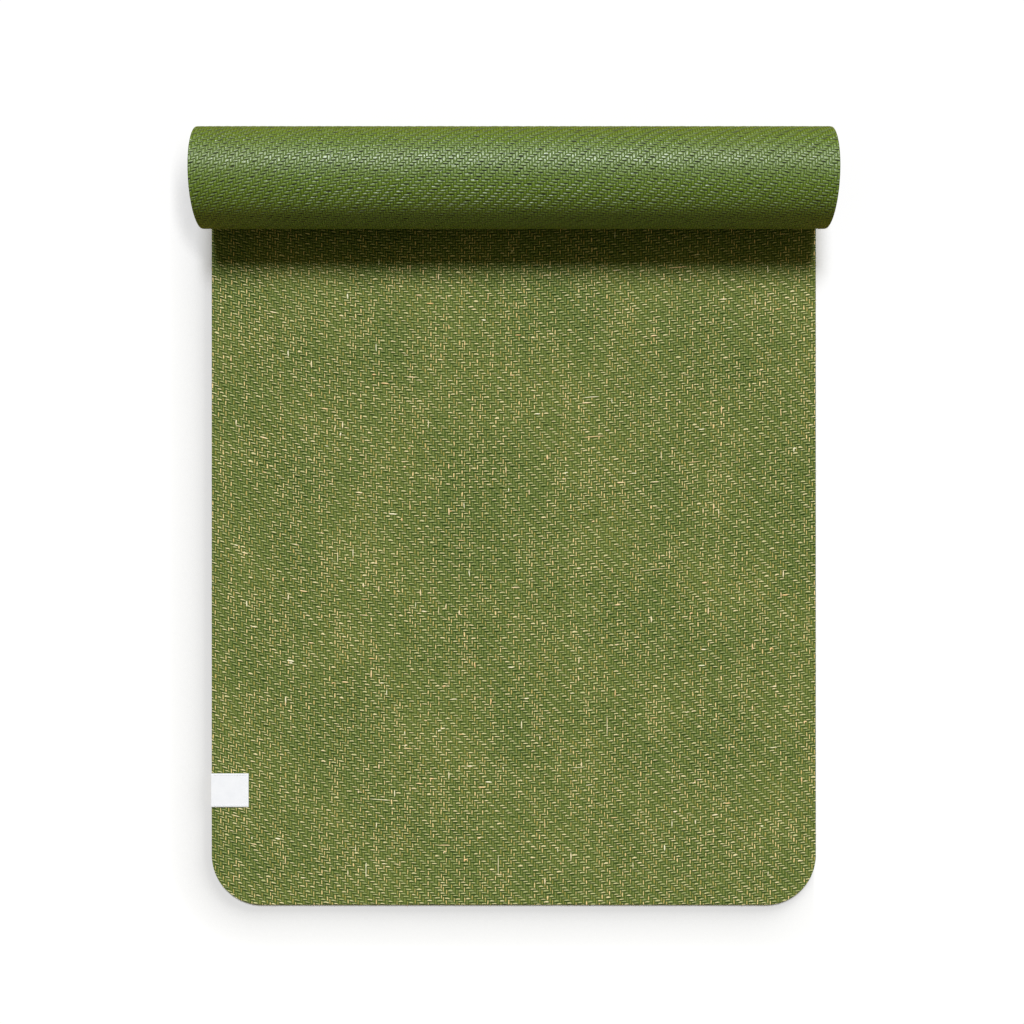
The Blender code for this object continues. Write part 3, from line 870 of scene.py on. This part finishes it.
label = Piece()
across = np.linspace(-1, 1, ACROSS_STEPS)
outer, inner = label_path(LABEL_SEAT + LABEL_THICKNESS), label_path(LABEL_SEAT)
steps = len(outer)
run = distance_along(outer)
wave = WAVE_HEIGHT * np.sin(run * WAVE_ALONG)[:, None] * np.sin(across * WAVE_ACROSS + WAVE_SHIFT)[None, :]
hem = np.clip((np.abs(across) - (1 - HEM_SHARE)) / HEM_SHARE, 0, 1) ** 2 * HEM_DROP
grid = np.arange(steps * ACROSS_STEPS).reshape(steps, ACROSS_STEPS)
weave = np.stack([np.tile((across + 1) / 2, steps), np.repeat(run / LABEL_WIDTH, ACROSS_STEPS)], 1)
for path, way, waviness in ((outer, 1, 1.0), (inner, -1, INNER_WAVE)):
    x, level = path[:, :1], path[:, 1:]
    z = level + wave * waviness * (level > WAVES_ABOVE) - hem[None, :] * way * np.sign(level)
    y = FREE_END_Y + (LABEL_MID + across * LABEL_WIDTH / 2)[None, :]
    points = np.stack([c.ravel() for c in np.broadcast_arrays(x, y, HALF + z)], 1)
    label.add(points, weave, weave, [grid_quads(grid)[:, ::way]], 0)
rim = np.concatenate([grid[:, 0], grid[-1, 1:], grid[::-1, -1][1:], grid[0, ::-1][1:]])
label.add_faces([np.stack([rim[:-1], rim[1:], rim[1:] + grid.size, rim[:-1] + grid.size], 1)], 0)
label_tape = label.build("label_tape", [label_cloth()])
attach(label_tape, "flat")
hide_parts("label")


# The label's stitches, in two rows of closed loops

ROW_FROM_SIDE, SEWN_FROM_EDGE, SEWN_FROM_TIP = 0.0014, 0.0022, 0.0014
STITCH_POINTS, STITCH_SIDES = 12, 8
HOP_SINK, HOP_RISE, HOP_ROUND = 0.0003, 0.00045, 0.6
ABOVE_LABEL, BELOW_LABEL = 0.00005, 0.0001

thread_look = cotton()
for name, row in (("near", -1), ("far", 1)):
    row_y = FREE_END_Y + (LABEL_MID + row * (LABEL_WIDTH / 2 - ROW_FROM_SIDE))
    left, right = -HALF_WIDTH + SEWN_FROM_EDGE, LABEL_TIP - SEWN_FROM_TIP
    stitches = round((right - left) / STITCH)
    t = np.linspace(0, stitches, stitches * STITCH_POINTS + 1)
    sewn = left + (right - left) * t / stitches
    hop = np.abs(np.sin(math.pi * t)) ** HOP_ROUND
    top = HALF + LABEL_SEAT + LABEL_THICKNESS + ABOVE_LABEL
    bottom = -RECESS_DEPTH - LABEL_SEAT - LABEL_THICKNESS - BELOW_LABEL
    over = np.stack([sewn, top - HOP_SINK + HOP_RISE * hop], 1)
    under = np.stack([sewn, bottom + HOP_SINK - HOP_RISE * hop], 1)[::-1]
    loop = np.concatenate([over, under, over[:1]])
    path = np.stack([loop[:, 0], np.full(len(loop), row_y), HALF + loop[:, 1]], 1)
    square = np.tile([0.0, 1.0, 0.0], (len(path), 1))
    points, quads = tube(path, np.full(len(path), THREAD_RADIUS), STITCH_SIDES, across=square)
    along, around = distance_along(path) / STITCH, np.arange(STITCH_SIDES) / STITCH_SIDES
    weave = np.stack([np.repeat(along, STITCH_SIDES), np.tile(around, len(path))], 1)
    thread = Piece()
    thread.add(points, weave, weave, [quads], 0)
    stitched = thread.build(f"label_stitches_{name}", [thread_look])
    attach(stitched, "flat")
    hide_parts(f"label_thread_{name}")


# Stage, lights and camera

FLOOR_SIZE = 40
# The painted soft shadow on the floor: its reach, the way its occlusion looks, its gain, its darkest share, and where
# it ends at the mat's right side
PAINTED_SHADOW_REACH, PAINTED_SHADOW_TOWARD, PAINTED_SHADOW_GAIN, PAINTED_SHADOW_DARKEST = 0.044, (0.67, 0.75, 0.05), 1.68, 0.70
PAINTED_SHADOW_ENDS = (0.295, 0.306)
WORLD_FILL, WORLD_TINT = 0.18, (1.0, 0.9, 0.48, 1)
KEY_SPREAD, KEY_LEVEL, KEY_COLOUR = 2 * math.atan(1 / 6), 1.12, (0.92, 0.935, 1.0)
KEY_WAY, KEY_DISTANCE = (0.0, 0.518, 0.855), 4
CAMERA_PLACE, SENSOR, FOCAL_PIXELS, PHOTO_PIXELS = (-0.0018, 0.0115, 1.269), 36, 1252, 1024


def stage_material():
    """A pale floor with a painted soft shadow left of the mat and before it, from ambient occlusion aimed that way
    and cut off past the mat's right side. Rays other than the camera's see a warm, darker bounce colour.
    """
    look = Look("floor_white", {"Roughness": 0.9, "Specular IOR Level": 0.0})
    where = look.node("TexCoord", None, None, 3)
    paper = look.mix(look.noise(where, 3.0), FLOOR_SHADE, FLOOR_WHITE)
    toward = look.vector(*PAINTED_SHADOW_TOWARD)
    settings = {"samples": 16, "inside": False, "only_local": False}
    near = look.node("AmbientOcclusion", settings, {"Distance": PAINTED_SHADOW_REACH, "Normal": toward}, 1)
    x = look.split(where)[0]
    near = look.math("MULTIPLY_ADD", near, PAINTED_SHADOW_GAIN, 1 - PAINTED_SHADOW_GAIN)
    painted_shadow = look.math("MAXIMUM", look.math("MAXIMUM", near, PAINTED_SHADOW_DARKEST), look.ramp(x, *PAINTED_SHADOW_ENDS))
    shaded = look.mix(painted_shadow, BLACK, paper)
    seen = look.node("LightPath")
    look.link(look.mix(seen, FLOOR_BOUNCE, shaded), "Base Color")
    return look.material


bpy.ops.mesh.primitive_plane_add(size=FLOOR_SIZE)
floor = bpy.context.object
floor.name = "floor"
floor.data.materials.append(stage_material())

# The world is white to the camera, and a low warm fill to everything else
world = bpy.data.worlds.new("studio")
bpy.context.scene.world = world
world.use_nodes = True
nodes, links = world.node_tree.nodes, world.node_tree.links
background = nodes["Background"]
seen = nodes.new("ShaderNodeLightPath").outputs["Is Camera Ray"]
strength = nodes.new("ShaderNodeMapRange")
strength.inputs["To Min"].default_value = WORLD_FILL
strength.inputs["To Max"].default_value = 1.0
links.new(seen, strength.inputs["Value"])
links.new(strength.outputs["Result"], background.inputs["Strength"])
tint = nodes.new("ShaderNodeMix")
tint.data_type = "RGBA"
tint.inputs[6].default_value = WORLD_TINT
tint.inputs[7].default_value = (1, 1, 1, 1)
links.new(seen, tint.inputs[0])
links.new(tint.outputs[2], background.inputs["Color"])

key_way = Vector(KEY_WAY).normalized()
key_data = bpy.data.lights.new("key", "SUN")
key_data.angle = KEY_SPREAD
key_data.energy = KEY_LEVEL * math.pi
key_data.color = KEY_COLOUR
key = bpy.data.objects.new("key", key_data)
bpy.context.scene.collection.objects.link(key)
key.location = key_way * KEY_DISTANCE
key.rotation_mode = "QUATERNION"
key.rotation_quaternion = key_way.to_track_quat("Z", "Y")

camera_data = bpy.data.cameras.new("camera")
camera_data.sensor_width = SENSOR
camera_data.lens = SENSOR * FOCAL_PIXELS / PHOTO_PIXELS
camera = bpy.data.objects.new("camera", camera_data)
bpy.context.scene.collection.objects.link(camera)
camera.location = CAMERA_PLACE
bpy.context.scene.camera = camera
bpy.context.scene.view_settings.view_transform = "Standard"

bpy.context.view_layer.update()
